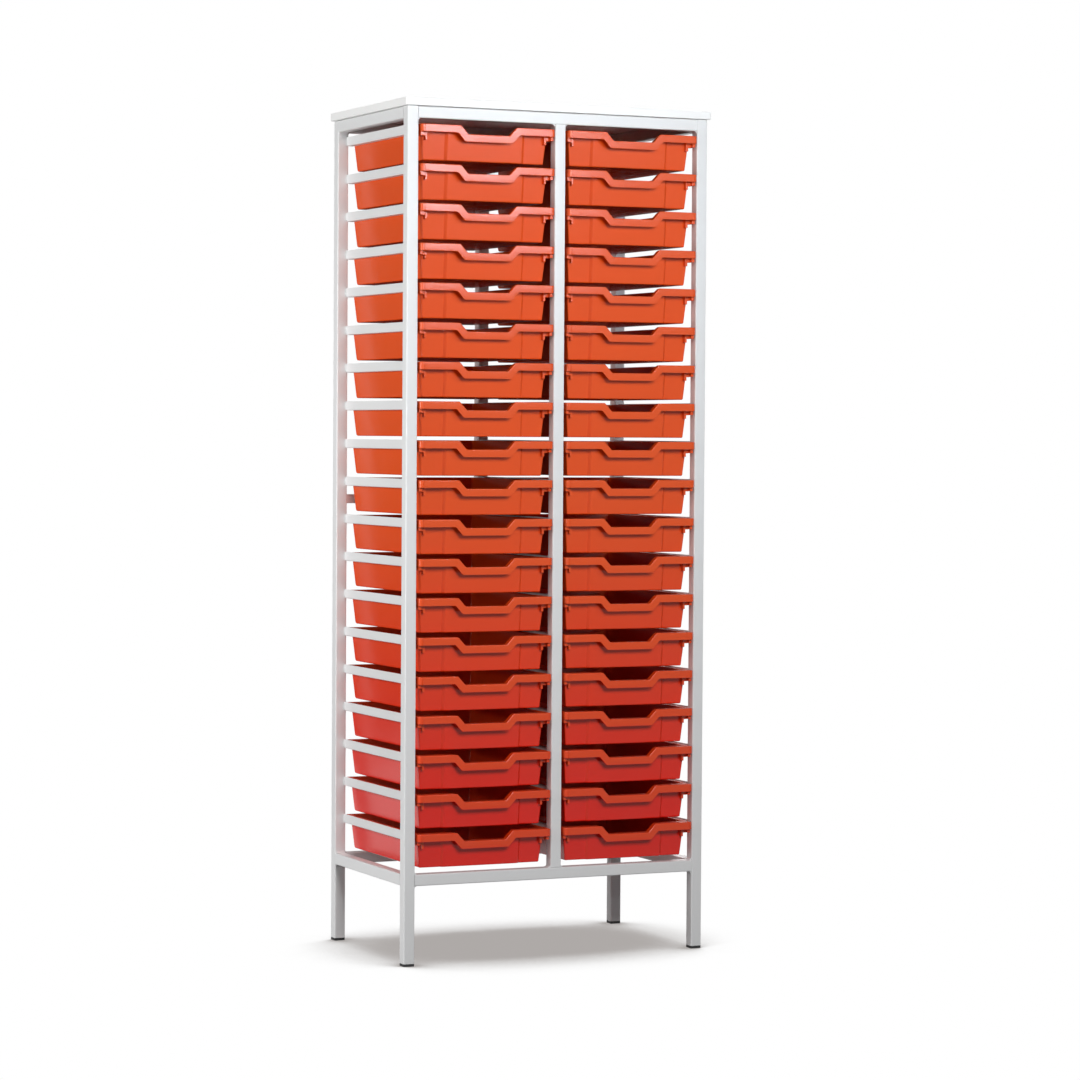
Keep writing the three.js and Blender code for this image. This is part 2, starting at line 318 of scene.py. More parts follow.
dust, given, result = group("settled dust", PLACED + [("Amount", FLOAT)], "Mask")
upward = map_range(dust, facing_up(dust), *DUST_TILT)
speckle = product(dust, upward, noise(dust, given, DUST_DETAIL))
dust.links.new(product(dust, speckle, given["Amount"]), result)
print("node group:", dust.name)

# %% Painted shade towards the floor
DOWNWARD_SHADE_RANGE = (-0.02, -0.09)
UPRIGHT_SHADE_SHARE = 0.4

# Painted shade: a mask that is 1 low down and 0 high up, strongest on faces that lean down, standing in for
# the shade there
painted_shade_drift, given, result = group("drift with height", [PLACED[0], ("Low", FLOAT), ("High", FLOAT)], "Mask")
depth = map_range(painted_shade_drift, height_of(painted_shade_drift, given["Vector"]), given["High"], given["Low"],
                  interpolation="SMOOTHSTEP")
lean = map_range(painted_shade_drift, facing_up(painted_shade_drift), *DOWNWARD_SHADE_RANGE, least=UPRIGHT_SHADE_SHARE)
painted_shade_drift.links.new(product(painted_shade_drift, depth, lean), result)
print("node group:", painted_shade_drift.name)

# %% [markdown]
# ## Finishes
# The frame is powder coated, which leaves a faint orange-peel relief. The trays are moulded polypropylene
# with a satin face, and the board is melamine with a plastic edging. All four finishes are the same small
# set of nodes, so one function lays them out and each finish only gives its values.

# %% A finish from a base colour and the shared effects
DUST_GREY = (0.55, 0.53, 0.50)
DUST_SCALE = 60
GLOSS_SCALE = 9
RELIEF_STRENGTH = 0.6


def place_group(tree, shared, vector, **values):
    made = node(tree, "ShaderNodeGroup", node_tree=shared)
    tree.links.new(vector, made.inputs["Vector"])
    for name, value in values.items():
        made.inputs[name].default_value = value
    return made.outputs[0]


def finish(name, painted_shade_colour, high_colour, heights, grain_scale, relief, gloss_range, dust_amount, specular):
    """A material whose colour goes from a painted shade colour low down to its own colour high up, between
    two heights, with all four effects on it.
    """
    look = bpy.data.materials.new(name)
    look.use_nodes = True
    tree = look.node_tree
    shader = tree.nodes["Principled BSDF"]
    place = node(tree, "ShaderNodeTexCoord").outputs["Object"]
    # The painted shade mask mixes in the low colour towards the floor and on faces that lean down
    lower = place_group(tree, painted_shade_drift, place, Low=heights[0], High=heights[1])
    colour = mix_colour(tree, lower, high_colour, painted_shade_colour)
    settled = place_group(tree, dust, place, Scale=DUST_SCALE, Amount=dust_amount)
    tree.links.new(mix_colour(tree, settled, colour, DUST_GREY), shader.inputs["Base Color"])
    rough = place_group(tree, gloss, place, Scale=GLOSS_SCALE, Least=gloss_range[0], Most=gloss_range[1])
    tree.links.new(rough, shader.inputs["Roughness"])
    bump = node(tree, "ShaderNodeBump")
    bump.inputs["Distance"].default_value = relief
    bump.inputs["Strength"].default_value = RELIEF_STRENGTH
    tree.links.new(place_group(tree, grain, place, Scale=grain_scale), bump.inputs["Height"])
    tree.links.new(bump.outputs["Normal"], shader.inputs["Normal"])
    shader.inputs["Specular IOR Level"].default_value = specular
    return look


# %% The four finishes of the unit
# Each low colour is a painted shade towards the floor, darker, and for the trays redder; each high colour is
# the material's own colour
powder_coat = finish(
    "powder_coat", painted_shade_colour=(0.71, 0.71, 0.715), high_colour=(0.73, 0.735, 0.735), heights=(0.2, 1.6),
    grain_scale=700, relief=0.06 * MM, gloss_range=(0.30, 0.38), dust_amount=0.10, specular=0.35)
tray_plastic = finish(
    "tray_plastic", painted_shade_colour=(0.70, 0.012, 0.004), high_colour=(0.70, 0.076, 0.007), heights=(0.25, 1.1),
    grain_scale=1500, relief=0.02 * MM, gloss_range=(0.20, 0.26), dust_amount=0.04, specular=0.35)
board_face = finish(
    "board_face", painted_shade_colour=(0.87, 0.87, 0.86), high_colour=(0.88, 0.88, 0.87), heights=(0, 1),
    grain_scale=900, relief=0.03 * MM, gloss_range=(0.38, 0.5), dust_amount=0.10, specular=0.4)
foot_plastic = finish(
    "foot_plastic", painted_shade_colour=(0.010, 0.010, 0.011), high_colour=(0.014, 0.014, 0.015), heights=(0, 0.03),
    grain_scale=1200, relief=0.08 * MM, gloss_range=(0.5, 0.62), dust_amount=0.2, specular=0.4)
print("finishes:", [look.name for look in (powder_coat, tray_plastic, board_face, foot_plastic)])

# %% [markdown]
# ## From a shape to a piece
# A finished piece is a plain mesh at the origin. It stands for its CAD node and rides on that node's body.
# Rounded edges are real geometry, so the mesh is shaded smooth and only edges that turn sharply stay crisp.

# %% Helpers that turn loops into skins and skins into pieces
CRISP_ANGLE = math.radians(32)
SEAM_GAP = 0.01 * MM


def skin(bm, loops):
    """Faces between loops of points that follow each other, closed by a flat face at both ends."""
    rings = [[bm.verts.new(point) for point in loop] for loop in loops]
    for lower, upper in zip(rings, rings[1:]):
        for i in range(len(lower)):
            j = (i + 1) % len(lower)
            bm.faces.new((lower[i], lower[j], upper[j], upper[i]))
    bm.faces.new(rings[0][::-1])
    bm.faces.new(rings[-1])


def with_flat_faces(mesh):
    """Lets the large faces set the shading, so they stay flat right up to their rounded edges."""
    carrier = bpy.data.objects.new("carrier", mesh)
    scene.collection.objects.link(carrier)
    weigh = carrier.modifiers.new("flat faces", "WEIGHTED_NORMAL")
    weigh.keep_sharp = True
    graph = bpy.context.evaluated_depsgraph_get()
    weighed = bpy.data.meshes.new_from_object(carrier.evaluated_get(graph))
    bpy.data.objects.remove(carrier)
    return weighed


def mesh_of(bm, name, *looks):
    """A plain mesh with merged seams, faces outwards and its finishes in place."""
    bmesh.ops.remove_doubles(bm, verts=bm.verts, dist=SEAM_GAP)
    bmesh.ops.recalc_face_normals(bm, faces=bm.faces)
    mesh = bpy.data.meshes.new(name)
    bm.to_mesh(mesh)
    bm.free()
    for look in looks:
        mesh.materials.append(look)
    mesh.shade_smooth()
    mesh.set_sharp_from_angle(angle=CRISP_ANGLE)
    return with_flat_faces(mesh)


def piece(name, mesh, body, slot, *nodes):
    """An object of this mesh that rides on body and stands for the CAD nodes it is given."""
    made = bpy.data.objects.new(name, mesh)
    scene.collection.objects.link(made)
    if nodes:
        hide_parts(*nodes)
    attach(made, body)


def arc(centre_x, centre_y, radius, start, steps):
    """Points of a quarter turn, anticlockwise from the angle start in degrees."""
    angles = [math.radians(start + 90 * i / steps) for i in range(steps + 1)]
    return [(centre_x + radius * math.cos(a), centre_y + radius * math.sin(a)) for a in angles]


def rounded_rectangle(x0, x1, y0, y1, radius, steps):
    right, left, back, front = x1 - radius, x0 + radius, y1 - radius, y0 + radius
    return (arc(right, front, radius, 270, steps) + arc(right, back, radius, 0, steps)
            + arc(left, back, radius, 90, steps) + arc(left, front, radius, 180, steps))


# %% [markdown]
# ## Geometry Nodes for what repeats
# Tubes, runners and welds come back many times, so each is a small node tree with named inputs. The tree
# is evaluated on a carrier object, and the result is kept as a plain mesh, because instances and live
# modifiers don't travel with an exported part.

# %% Helpers for node trees
SOCKETS = {"vector": "NodeSocketVector", "length": "NodeSocketFloat", "count": "NodeSocketInt",
           "look": "NodeSocketMaterial", "object": "NodeSocketObject"}


def shape_tree(name, **inputs):
    tree = bpy.data.node_groups.new(name, "GeometryNodeTree")
    tree.interface.new_socket("Geometry", in_out="INPUT", socket_type="NodeSocketGeometry")
    for label, kind in inputs.items():
        tree.interface.new_socket(label, in_out="INPUT", socket_type=SOCKETS[kind])
    tree.interface.new_socket("Geometry", in_out="OUTPUT", socket_type="NodeSocketGeometry")
    return tree, node(tree, "NodeGroupInput")


def finish_tree(tree, shape, look):
    """Every tree ends in plain geometry with its finish set."""
    plain = node(tree, "GeometryNodeRealizeInstances")
    tree.links.new(shape, plain.inputs["Geometry"])
    coat = node(tree, "GeometryNodeSetMaterial")
    tree.links.new(plain.outputs[0], coat.inputs["Geometry"])
    tree.links.new(look, coat.inputs["Material"])
    tree.links.new(coat.outputs[0], node(tree, "NodeGroupOutput").inputs[0])
    print("tree:", tree.name, "nodes:", len(tree.nodes))


def made_by(tree, start=None, **values):
    """The mesh that a tree makes from a starting mesh and its named inputs."""
    carrier = bpy.data.objects.new("carrier", start or bpy.data.meshes.new("empty"))
    scene.collection.objects.link(carrier)
    shaper = carrier.modifiers.new("shape", "NODES")
    shaper.node_group = tree
    for item in tree.interface.items_tree:
        if item.in_out == "INPUT" and item.name in values:
            shaper[item.identifier] = values[item.name]
    graph = bpy.context.evaluated_depsgraph_get()
    mesh = bpy.data.meshes.new_from_object(carrier.evaluated_get(graph))
    bpy.data.objects.remove(carrier)
    return mesh


def joined(name, look, *meshes):
    """One plain mesh of several, in one finish."""
    bm = bmesh.new()
    for mesh in meshes:
        bm.from_mesh(mesh)
    return mesh_of(bm, name, look)


# %% [markdown]
# ## Square tube
# Posts, rails and braces are cut from drawn square tube with small outside radii. A tube is a rounded
# square swept along a straight line, so the tree takes the two ends of the line, the size of the tube and
# its corner radius.

# %% Tree of a square tube
TUBE_CORNER = 2.5 * MM
TUBE_CORNER_STEPS = 5

tube_tree, into = shape_tree("square tube", Start="vector", End="vector", Size="length", Corner="length",
                             Paint="look")
line = node(tube_tree, "GeometryNodeCurvePrimitiveLine")
tube_tree.links.new(into.outputs["Start"], line.inputs["Start"])
tube_tree.links.new(into.outputs["End"], line.inputs["End"])
square = node(tube_tree, "GeometryNodeCurvePrimitiveQuadrilateral")
tube_tree.links.new(into.outputs["Size"], square.inputs["Width"])
tube_tree.links.new(into.outputs["Size"], square.inputs["Height"])
corners = node(tube_tree, "GeometryNodeFilletCurve", mode="POLY")
corners.inputs["Count"].default_value = TUBE_CORNER_STEPS
tube_tree.links.new(square.outputs[0], corners.inputs["Curve"])
tube_tree.links.new(into.outputs["Corner"], corners.inputs["Radius"])
sweep = node(tube_tree, "GeometryNodeCurveToMesh")
sweep.inputs["Fill Caps"].default_value = True
tube_tree.links.new(line.outputs[0], sweep.inputs["Curve"])
tube_tree.links.new(corners.outputs[0], sweep.inputs["Profile Curve"])
finish_tree(tube_tree, sweep.outputs[0], into.outputs["Paint"])


def tube_between(start, end, size):
    return made_by(tube_tree, Start=start, End=end, Size=size, Corner=TUBE_CORNER, Paint=powder_coat)


# %% Rails and braces from their CAD boxes
rails = [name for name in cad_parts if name.endswith(("_rail", "_brace"))]
for name in rails:
    low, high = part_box(name)
    middle = (low + high) / 2
    extent = high - low
    along = max(range(3), key=lambda axis: extent[axis])
    size = extent[(along + 1) % 3]
    start, end = middle.copy(), middle.copy()
    start[along], end[along] = low[along], high[along]
    mesh = joined(name, powder_coat, tube_between(start, end, size))
    piece("painted_" + name, mesh, "frame", "frame_paint", name)
print("rails and braces:", len(rails))

# %% [markdown]
# ## Posts and their runners
# A runner is a folded steel angle. Its upright leaf is welded between a front and a back post, and its
# ledge carries a tray by the lip of its rim. The section of the angle is drawn once as a flat face, and the
# tree draws it out to a bar and stacks the bars at the pitch of the trays, with a weld bead at each end.

# %% Places of the posts and levels of the trays
TRAYS_IN_COLUMN = 19
tray_numbers = range(1, TRAYS_IN_COLUMN + 1)
tray_names = {side: [f"{side}_tray_{i:02d}" for i in tray_numbers] for side in ("left", "right")}
tray_low, tray_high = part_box(tray_names["left"][-1])
tray_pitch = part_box(tray_names["left"][-2])[0].z - tray_low.z
tray_size = tray_high - tray_low
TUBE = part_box("back_left_post")[1].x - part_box("back_left_post")[0].x


def middle_of(name, axis):
    low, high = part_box(name)
    return (low[axis] + high[axis]) / 2


post_x = {
    "left": middle_of("left_bottom_rail", 0),
    "middle": 0.0,
    "right": middle_of("right_bottom_rail", 0),
}
post_y = {"front": middle_of("front_bottom_rail", 1), "back": middle_of("back_bottom_rail", 1)}
print("tray size:", tuple(round(v, 4) for v in tray_size))
print("tray pitch:", round(tray_pitch, 4), "tube:", round(TUBE, 4))

# %% Tree of a ladder of runners
RUNNER_HEIGHT = 20 * MM
RUNNER_LEDGE = 15 * MM
RUNNER_SHEET = 1.5 * MM
RUNNER_FOLD = 2.5 * MM
RUNNER_INSET = 4 * MM
RIM_LIP = 16.5 * MM
SEAT_GAP = 0.3 * MM
WELD_DEPTH = 1 * MM
BEAD_SIZE = Vector((2.2, 2.6, 8.0)) * MM
BEAD_RISE = 1.25
BEAD_SUBDIVISIONS = 2

ladder_tree, into = shape_tree("runner ladder", Count="count", Pitch="vector", Length="vector", Bead="vector",
                               Paint="look")
bar = node(ladder_tree, "GeometryNodeExtrudeMesh")
bar.inputs["Individual"].default_value = False
ladder_tree.links.new(into.outputs["Geometry"], bar.inputs["Mesh"])
ladder_tree.links.new(into.outputs["Length"], bar.inputs["Offset"])
back_face = node(ladder_tree, "GeometryNodeFlipFaces")
ladder_tree.links.new(into.outputs["Geometry"], back_face.inputs["Mesh"])
drop = node(ladder_tree, "GeometryNodeMeshIcoSphere")
drop.inputs["Radius"].default_value = 1
drop.inputs["Subdivisions"].default_value = BEAD_SUBDIVISIONS
bead_up = node(ladder_tree, "ShaderNodeVectorMath", operation="MULTIPLY")
ladder_tree.links.new(into.outputs["Bead"], bead_up.inputs[0])
bead_up.inputs[1].default_value = (0, 0, BEAD_RISE)
bead_start = node(ladder_tree, "GeometryNodeTransform")
ladder_tree.links.new(drop.outputs["Mesh"], bead_start.inputs["Geometry"])
ladder_tree.links.new(into.outputs["Bead"], bead_start.inputs["Scale"])
ladder_tree.links.new(bead_up.outputs[0], bead_start.inputs["Translation"])
bead_end = node(ladder_tree, "GeometryNodeTransform")
ladder_tree.links.new(bead_start.outputs[0], bead_end.inputs["Geometry"])
ladder_tree.links.new(into.outputs["Length"], bead_end.inputs["Translation"])
runner = node(ladder_tree, "GeometryNodeJoinGeometry")
for part in (bar, back_face, bead_start, bead_end):
    ladder_tree.links.new(part.outputs[0], runner.inputs[0])
levels = node(ladder_tree, "GeometryNodeMeshLine")
ladder_tree.links.new(into.outputs["Count"], levels.inputs["Count"])
ladder_tree.links.new(into.outputs["Pitch"], levels.inputs["Offset"])
stack = node(ladder_tree, "GeometryNodeInstanceOnPoints")
ladder_tree.links.new(levels.outputs[0], stack.inputs["Points"])
ladder_tree.links.new(runner.outputs[0], stack.inputs["Instance"])
finish_tree(ladder_tree, stack.outputs[0], into.outputs["Paint"])

# %% Section of a runner, and a ladder of them in its place
OUTER_FOLD_STEPS = 5
INNER_FOLD_STEPS = 3


def angle_section(side):
    """The folded angle in X and Z from its outer lower corner, with the fold rounded inside and out."""
    outside = arc(RUNNER_FOLD, RUNNER_FOLD, RUNNER_FOLD, 180, OUTER_FOLD_STEPS)
    inside = arc(RUNNER_FOLD, RUNNER_FOLD, RUNNER_FOLD - RUNNER_SHEET, 180, INNER_FOLD_STEPS)
    outline = [(0, RUNNER_HEIGHT), *outside, (RUNNER_LEDGE, 0), (RUNNER_LEDGE, RUNNER_SHEET), *inside[::-1],
               (RUNNER_SHEET, RUNNER_HEIGHT)]
    mesh = bpy.data.meshes.new("angle section")
    mesh.from_pydata([(side * x, 0, z) for x, z in outline], [], [range(len(outline))])
    return mesh


def ladder(post, side):
    """The runners of one side of a column, placed in the frame."""
    start = post_y["front"] + TUBE / 2 - WELD_DEPTH
    end = post_y["back"] - TUBE / 2 + WELD_DEPTH
    mesh = made_by(ladder_tree, angle_section(side), Count=TRAYS_IN_COLUMN, Pitch=(0, 0, tray_pitch),
                   Length=(0, end - start, 0), Bead=BEAD_SIZE, Paint=powder_coat)
    foot = tray_high.z - RIM_LIP - SEAT_GAP - RUNNER_SHEET
    mesh.transform(Matrix.Translation((post_x[post] + side * (TUBE / 2 - RUNNER_INSET), start, foot)))
    return mesh


print("runner section in mm:", round(RUNNER_LEDGE / MM, 1), "by", round(RUNNER_HEIGHT / MM, 1))

# %% Posts, four of them with a ladder of runners
LADDERS = {"front_left_post": 1, "front_middle_post": -1, "back_middle_post": 1, "front_right_post": -1}
for row in post_y:
    for column in post_x:
        name = f"{row}_{column}_post"
        low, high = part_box(name)
        foot = Vector((post_x[column], post_y[row], low.z))
        head = Vector((post_x[column], post_y[row], high.z))
        parts = [tube_between(foot, head, TUBE)]
        if name in LADDERS:
            parts.append(ladder(column, LADDERS[name]))
        piece("painted_" + name, joined(name, powder_coat, *parts), "frame", "frame_paint", name)
print("posts:", len(post_x) * len(post_y), "runners:", len(LADDERS) * TRAYS_IN_COLUMN)

# %% [markdown]
# ## Corner welds
# Where a rail meets a post the weld is ground to a small hollow fillet, which rounds the inside corners of
# the front openings. A weld is a wedge with one hollow face. The tree sets one wedge on every corner point,
# turned by the point's own attributes.

# %% Tree of the corner welds
WELD_RADIUS = 7 * MM
WELD_WIDTH = 19 * MM
WELD_STEPS = 6

weld_tree, into = shape_tree("corner welds", Wedge="object", Paint="look")
wedge_shape = node(weld_tree, "GeometryNodeObjectInfo")
weld_tree.links.new(into.outputs["Wedge"], wedge_shape.inputs["Object"])
facing = node(weld_tree, "GeometryNodeInputNamedAttribute", data_type="FLOAT_VECTOR")
facing.inputs["Name"].default_value = "facing"
mirror = node(weld_tree, "GeometryNodeInputNamedAttribute", data_type="FLOAT_VECTOR")
mirror.inputs["Name"].default_value = "mirror"
turned = node(weld_tree, "FunctionNodeEulerToRotation")
weld_tree.links.new(facing.outputs["Attribute"], turned.inputs["Euler"])
set_on = node(weld_tree, "GeometryNodeInstanceOnPoints")
weld_tree.links.new(into.outputs["Geometry"], set_on.inputs["Points"])
weld_tree.links.new(wedge_shape.outputs["Geometry"], set_on.inputs["Instance"])
weld_tree.links.new(turned.outputs[0], set_on.inputs["Rotation"])
weld_tree.links.new(mirror.outputs["Attribute"], set_on.inputs["Scale"])
finish_tree(weld_tree, set_on.outputs[0], into.outputs["Paint"])

# %% The wedge that every corner takes
bm = bmesh.new()
hollow = arc(WELD_RADIUS, WELD_RADIUS, WELD_RADIUS, 180, WELD_STEPS)
sunk = [(-WELD_DEPTH, WELD_RADIUS), (-WELD_DEPTH, -WELD_DEPTH), (WELD_RADIUS, -WELD_DEPTH)]
outline = hollow + sunk[::-1]
skin(bm, [[(x, side * WELD_WIDTH / 2, z) for x, z in outline] for side in (-1, 1)])
wedge = bpy.data.objects.new("wedge", mesh_of(bm, "wedge"))
scene.collection.objects.link(wedge)
print("faces of a wedge:", len(wedge.data.polygons))

# %% Corner points of the frame, and the welds on them
rail_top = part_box("front_bottom_rail")[1].z
rail_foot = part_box("front_bottom_rail")[0].z
head_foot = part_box("front_top_rail")[0].z
corner_points, facings, mirrors = [], [], []


def weld(point, quarter, across, up):
    """Notes one corner: its point, the quarter turns to face it, and the signs that mirror the wedge."""
    corner_points.append(point)
    facings.append((0, 0, math.radians(90 * quarter)))
    mirrors.append((across, 1, up))


for row in post_y:
    for column, sides in (("left", (1,)), ("middle", (-1, 1)), ("right", (-1,))):
        for side in sides:
            x = post_x[column] + side * TUBE / 2
            weld((x, post_y[row], rail_top), 0, side, 1)
            weld((x, post_y[row], head_foot), 0, side, -1)
            if column != "middle":
                weld((x, post_y[row], rail_foot), 0, side, -1)
for column in ("left", "right"):
    for row, side in (("front", 1), ("back", -1)):
        y = post_y[row] + side * TUBE / 2
        for z, up in ((rail_top, 1), (head_foot, -1), (rail_foot, -1)):
            weld((post_x[column], y, z), 1, side, up)

points = bpy.data.meshes.new("corner points")
points.from_pydata(corner_points, [], [])
for name, values in (("facing", facings), ("mirror", mirrors)):
    store = points.attributes.new(name, "FLOAT_VECTOR", "POINT")
    store.data.foreach_set("vector", [number for value in values for number in value])
welds = joined("corner_welds", powder_coat, made_by(weld_tree, points, Wedge=wedge, Paint=powder_coat))
bpy.data.objects.remove(wedge)
piece("corner_welds", welds, "frame", "frame_paint")
print("corner welds:", len(corner_points))

# %% [markdown]
# ## Board top
# The top is a white melamine board with a plastic edging glued round it. Its edges are eased by a small
# radius, which catches the light as a thin line. It lies on a thin packing that is set back from the edge,
# and that leaves the dark line the photograph shows under it. Board and packing are stacks of rounded
# rectangles, drawn in at the top and the bottom.

# %% Board with eased edges
BOARD_CORNER = 3 * MM
BOARD_CORNER_STEPS = 5
BOARD_EASE = 1.2 * MM
EASE_STEPS = 4
LEAST_CORNER = 0.1 * MM
SHADOW_GAP = 1.2 * MM
PACKING_SETBACK = 14 * MM
PACKING_HEIGHT = 2 * SHADOW_GAP
PACKING_EASE = SHADOW_GAP / 4


def eased_block(bm, low, high, corner, ease, corner_steps):
    """A block with rounded upright corners and eased top and bottom edges."""
    levels = [(ease - y, low.z + ease + z) for y, z in arc(0, 0, ease, 270, EASE_STEPS)]
    levels += [(ease - y, high.z - ease + z) for y, z in arc(0, 0, ease, 0, EASE_STEPS)]
    loops = []
    for inset, z in levels:
        outline = rounded_rectangle(low.x + inset, high.x - inset, low.y + inset, high.y - inset,
                                    max(corner - inset, LEAST_CORNER), corner_steps)
        loops.append([(x, y, z) for x, y in outline])
    skin(bm, loops)


bm = bmesh.new()
board_low, board_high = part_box("top_panel")
board_foot = board_low + Vector((0, 0, SHADOW_GAP))
eased_block(bm, board_foot, board_high, BOARD_CORNER, BOARD_EASE, BOARD_CORNER_STEPS)
packing_low = board_low + Vector((PACKING_SETBACK, PACKING_SETBACK, 0))
packing_high = board_high - Vector((PACKING_SETBACK, PACKING_SETBACK, 0))
packing_high.z = board_low.z + PACKING_HEIGHT
eased_block(bm, packing_low, packing_high, BOARD_CORNER, PACKING_EASE, BOARD_CORNER_STEPS)
piece("white_top_board", mesh_of(bm, "top_board", board_face), "frame", "top_board", "top_panel")
print("board thickness in mm:", round((board_high.z - board_low.z) / MM, 1))

# %% [markdown]
# ## Feet
# A black plastic insert closes each leg. Its cap is as wide as the tube and shows as a thin dark line above
# the floor, and its plug holds by soft fins inside the tube.

# %% Four feet with caps and finned plugs
FOOT_CAP = 6 * MM
FOOT_EASE = 1.0 * MM
PLUG_CORE = 13 * MM
PLUG_CORNER = 1 * MM
PLUG_CORNER_STEPS = 2
PLUG_EASE = 0.5 * MM
FIN_WIDTH = 21.4 * MM
FIN_THICKNESS = 1.5 * MM
FIN_EASE = 0.4 * MM
FIN_COUNT = 2

feet = [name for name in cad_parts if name.endswith("_foot")]
core = Vector((PLUG_CORE, PLUG_CORE, 0)) / 2
fin = Vector((FIN_WIDTH, FIN_WIDTH, FIN_THICKNESS)) / 2
for name in feet:
    low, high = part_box(name)
    middle = (low + high) / 2
    bm = bmesh.new()
    cap_high = Vector((high.x, high.y, low.z + FOOT_CAP))
    eased_block(bm, low, cap_high, TUBE_CORNER, FOOT_EASE, TUBE_CORNER_STEPS)
    bottom = Vector((middle.x, middle.y, low.z + FOOT_CAP / 2))
    top = Vector((middle.x, middle.y, high.z))
    eased_block(bm, bottom - core, top + core, PLUG_CORNER, PLUG_EASE, PLUG_CORNER_STEPS)
    fin_pitch = (high.z - low.z - FOOT_CAP) / FIN_COUNT
    for i in range(FIN_COUNT):
        at = Vector((middle.x, middle.y, low.z + FOOT_CAP + (i + 0.5) * fin_pitch))
        eased_block(bm, at - fin, at + fin, PLUG_CORNER, FIN_EASE, PLUG_CORNER_STEPS)
    piece("plastic_" + name, mesh_of(bm, name, foot_plastic), "frame", "foot_plastic", name)
print("feet:", len(feet), "with", FIN_COUNT, "fins each")

# %% [markdown]
# ## Trays
# A tray is one thin moulding: a tub with sloping walls, a rim that turns out and down into a lip, a hand
# scoop in the front band and a panel that stands forward below it. A fine groove parts the band from its
# two end pieces, and the rear edge of the base is a rounded heel. All of it follows one rule. A section
# through the wall is a short list of levels, each level is a rounded rectangle, and the scoop, the panel,
# the groove and the heel only move the front or the back of some levels. So the tray is one skin from its
# inside floor, over the rim, to its base, with a radius at every edge as a mould leaves. Only the stepped
# stop lugs behind the ends of the band, which meet the front ends of the runners, are blocks of their own.

# %% Sizes of the moulding, in the tray's own place from its front middle
WALL = 2 * MM
DRAFT = 7.5 * MM
SIDE_FLANGE = 8 * MM
BODY_SETBACK = 24 * MM
PANEL_STEP = 5 * MM
PANEL_HALF = 87 * MM
PANEL_SLOPE = 6 * MM
PANEL_FOOT_EASE = 0.01
PANEL_EDGE_EASE = 0.2
RIM_SHEET = 2 * MM
RIM_CORNER = 6.5 * MM
BODY_CORNER = 4.5 * MM
RIM_EDGE = 1.8 * MM
NECK_EASE = 1.2 * MM
FLOOR_FILLET = 5 * MM
BASE_EDGE = 2.2 * MM
HEEL = 6 * MM
SCOOP_TOP = 65 * MM
SCOOP_BOTTOM = 48 * MM
SCOOP_DEPTH = 18.5 * MM
SCOOP_ROUND = 1.6 * MM
TROUGH_WIDENING = 10 * MM
BAND_HALF = 148 * MM
BAND_LEAN = 0.1 * MM
BAND_RAISE = 0.4 * MM
BAND_TUCK = 0.4 * MM
GROOVE_WIDTH = 1 * MM
GROOVE_DEPTH = 0.7 * MM
CORNER_STEPS = 6
tray_half, tray_depth, tray_height = tray_size.x / 2, tray_size.y, tray_size.z
scoop_run = SCOOP_TOP - SCOOP_BOTTOM
band_widening = (math.hypot(scoop_run, SCOOP_DEPTH) - scoop_run) / SCOOP_DEPTH
print("band widens by", round(band_widening * RIM_LIP / MM, 2), "mm on each side of the scoop")

# %% The rules of the scoop, the panel and the band


def eased_ramp(value, ease):
    """value where it is positive and 0 where it is negative, with the corner rounded off."""
    if value <= -ease:
        return 0.0
    if value >= ease:
        return value
    return (value + ease) ** 2 / (4 * ease)


def scoop_drop(x, drop):
    """How far the scoop lowers the front at x, on a level that lies drop below the rim."""
    rise = (SCOOP_TOP + band_widening * drop - abs(x)) * SCOOP_DEPTH / scoop_run
    return eased_ramp(rise, SCOOP_ROUND) - eased_ramp(rise - SCOOP_DEPTH, SCOOP_ROUND)


def panel_push(x):
    """1 on the middle panel, 0 beside it, with a slope between that is crisp at its foot and eased above."""
    rise = (PANEL_HALF + PANEL_SLOPE - abs(x)) / PANEL_SLOPE
    return eased_ramp(rise, PANEL_FOOT_EASE) - eased_ramp(rise - 1, PANEL_EDGE_EASE)


def band_push(x, lean):
    """The band stands by lean before its two end pieces, with a groove between them."""
    past = abs(x) - BAND_HALF
    if past < 0:
        return lean
    return GROOVE_DEPTH if past < GROOVE_WIDTH else 0.0


print("scoop depth in mm:", round(scoop_drop(0, 0) / MM, 2))

# %% Stations across the front, in mm from its middle
MIDDLE_STATIONS = [0, 14, 28]
SCOOP_STATIONS = [38 + 1.75 * i for i in range(26)]
PANEL_STATIONS = [84, 85, 86, 87, 88, 89, 90, 91, 92, 92.9, 93.1, 94, 96]
KEPT_STATION = 106
GROOVE_STATIONS = [125, 147, 147.9, 148.1, 148.9, 149.1]

half_front = [*MIDDLE_STATIONS, *SCOOP_STATIONS, *PANEL_STATIONS, KEPT_STATION, *GROOVE_STATIONS]
front_stations = [-x * MM for x in half_front[:0:-1]] + [x * MM for x in half_front]
print("stations across the front:", len(front_stations))

# %% One level of the moulding
KEPT_HALF = KEPT_STATION * MM
RIM_STRAIGHT = tray_half - RIM_CORNER


